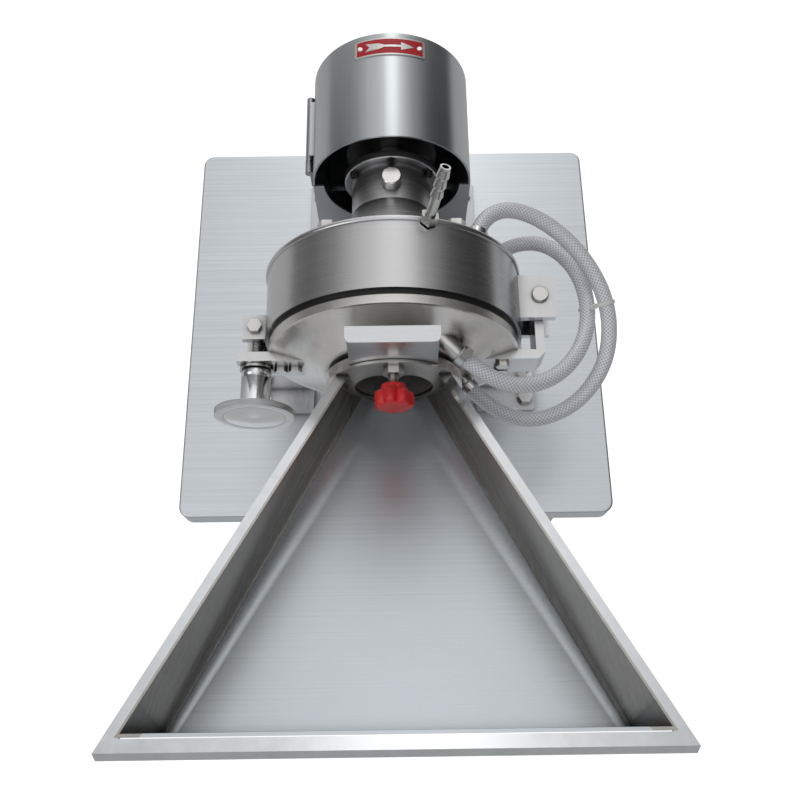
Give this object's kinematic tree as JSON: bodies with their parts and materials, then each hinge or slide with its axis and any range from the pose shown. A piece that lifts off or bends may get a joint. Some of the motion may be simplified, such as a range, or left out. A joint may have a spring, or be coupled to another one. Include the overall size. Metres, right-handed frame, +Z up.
{
  "type": "corn grinding machine",
  "caption": "Stainless pin mill on a closed cabinet with an open funnel hopper, slide gate, hinged door held by a handwheel, cooling hoses and a belt drive under a guard.",
  "frame": {"origin": "on the floor, below the middle of the object's box", "axes": "+Z up along the height, -Y to the front where the hopper reaches out and the spout opens, +X to the right seen from the front"},
  "size_m": [0.52, 0.765, 1.2638],
  "materials": {
    "stainless_brushed": "brushed",
    "stainless_polished": "polished",
    "zinc_fasteners": "satin",
    "dark_iron": "machined",
    "dark_screws": "blackened",
    "bearing_steel": "ground",
    "black_rubber": "matt",
    "clear_hose": "clear with woven braid",
    "red_plastic": "gloss",
    "green_plastic": "gloss",
    "red_plate": "printed",
    "motor_casing": "painted",
    "motor_sheet": "painted",
    "black_plastic": "moulded"
  },
  "bodies": {
    "frame": {"top_plate": "stainless_brushed", "cabinet_front": "stainless_brushed", "cabinet_rear": "stainless_brushed", "cabinet_sides": "stainless_brushed", "base_pan": "stainless_brushed", "levelling_feet": "zinc_fasteners", "cable_gland": "black_plastic", "switch_box": "black_plastic", "drum_shell": "stainless_polished", "drum_back_plate": "stainless_polished", "door_gasket": "black_rubber", "screen_ring": "stainless_polished", "drum_feet": "stainless_brushed", "drum_lugs": "stainless_polished", "pivot_pins": "zinc_fasteners", "bearing_housing": "dark_iron", "bearings": "bearing_steel", "bearing_cap": "dark_iron", "cap_screws": "dark_screws", "grease_cap": "zinc_fasteners", "v_belts": "black_rubber", "motor_frame": "motor_casing", "motor_cowl": "motor_sheet", "motor_shelf": "stainless_brushed", "frame_bolts": "zinc_fasteners", "discharge_chute": "stainless_brushed", "discharge_spout": "stainless_polished", "guard_base": "stainless_brushed", "water_nozzle": "zinc_fasteners", "drum_barbs": "zinc_fasteners", "drum_clamps": "zinc_fasteners", "hose_a": "clear_hose", "hose_b": "clear_hose"},
    "door": {"door_dish": "stainless_polished", "neck_flange": "stainless_brushed", "door_pin_plate": "stainless_polished", "hinge_arm": "stainless_polished", "latch_ear": "stainless_polished", "door_screws": "zinc_fasteners", "hopper_flange": "stainless_brushed", "hopper_tray": "stainless_brushed", "hopper_rim": "stainless_brushed", "door_barbs": "zinc_fasteners", "door_clamps": "zinc_fasteners"},
    "gate": {"gate_plate": "stainless_brushed"},
    "knob": {"clamp_knob": "red_plastic"},
    "mill_rotor": {"mill_shaft": "bearing_steel", "rotor_disc": "stainless_polished", "rotor_nut": "stainless_polished", "mill_pulley": "dark_iron"},
    "motor_rotor": {"motor_shaft": "bearing_steel", "motor_fan": "black_plastic", "motor_pulley": "dark_iron"},
    "closing_bolt": {"closing_bolt": "stainless_polished"},
    "closing_washer": {"closing_washer": "zinc_fasteners"},
    "handwheel": {"handwheel": "stainless_polished"},
    "cover": {"guard_cover": "stainless_brushed", "arrow_plate": "red_plate"},
    "start_button": {"start_button": "green_plastic"},
    "stop_button": {"stop_button": "red_plastic"}
  },
  "joints": [
    {"name": "door_hinge", "type": "hinge", "parent": "frame", "child": "door", "pos_m": [0.15, 0.0475, 1.04], "axis": [0, 0, 1], "range_deg": [0, 104], "deforming": ["hose_a", "hose_b"]},
    {"name": "gate_slide", "type": "slide", "parent": "door", "child": "gate", "axis": [0, 0, 1], "range_m": [-0.0665, 0]},
    {"name": "clamp_screw", "type": "hinge", "parent": "door", "child": "knob", "pos_m": [0, -0.07, 1.095], "axis": [0, -1, 0], "continuous": true},
    {"name": "closing_bolt_swing", "type": "hinge", "parent": "frame", "child": "closing_bolt", "pos_m": [-0.14, 0.0175, 1.04], "axis": [0, 0, -1], "range_deg": [0, 95]},
    {"name": "handwheel_travel", "type": "slide", "parent": "closing_bolt", "child": "closing_washer", "axis": [0, -1, 0], "range_m": [0, 0.031]},
    {"name": "handwheel_spin", "type": "hinge", "parent": "closing_washer", "child": "handwheel", "pos_m": [-0.14, -0.06, 1.04], "axis": [0, -1, 0], "continuous": true},
    {"name": "mill_spin", "type": "hinge", "parent": "frame", "child": "mill_rotor", "pos_m": [0, 0.1, 1.04], "axis": [0, 1, 0], "continuous": true},
    {"name": "motor_spin", "type": "hinge", "parent": "frame", "child": "motor_rotor", "pos_m": [0, 0.1, 0.51], "axis": [0, 1, 0], "continuous": true},
    {"name": "guard_cover_hinge", "type": "hinge", "parent": "frame", "child": "cover", "pos_m": [-0.0916, 0.2641, 1.04], "axis": [0, -1, 0], "range_deg": [0, 95]},
    {"name": "start_press", "type": "slide", "parent": "frame", "child": "start_button", "axis": [0, 1, 0], "range_m": [0, 0.003], "stiffness_N_per_m": 600, "springref_m": -0.001},
    {"name": "stop_press", "type": "slide", "parent": "frame", "child": "stop_button", "axis": [0, 1, 0], "range_m": [0, 0.004], "stiffness_N_per_m": 600, "springref_m": -0.001}
  ],
  "couplings": [
    {"joint": "handwheel_travel", "follows": "closing_bolt_swing", "m_per_rad": 0.0183},
    {"joint": "motor_spin", "follows": "mill_spin", "ratio": 0.6667}
  ]
}
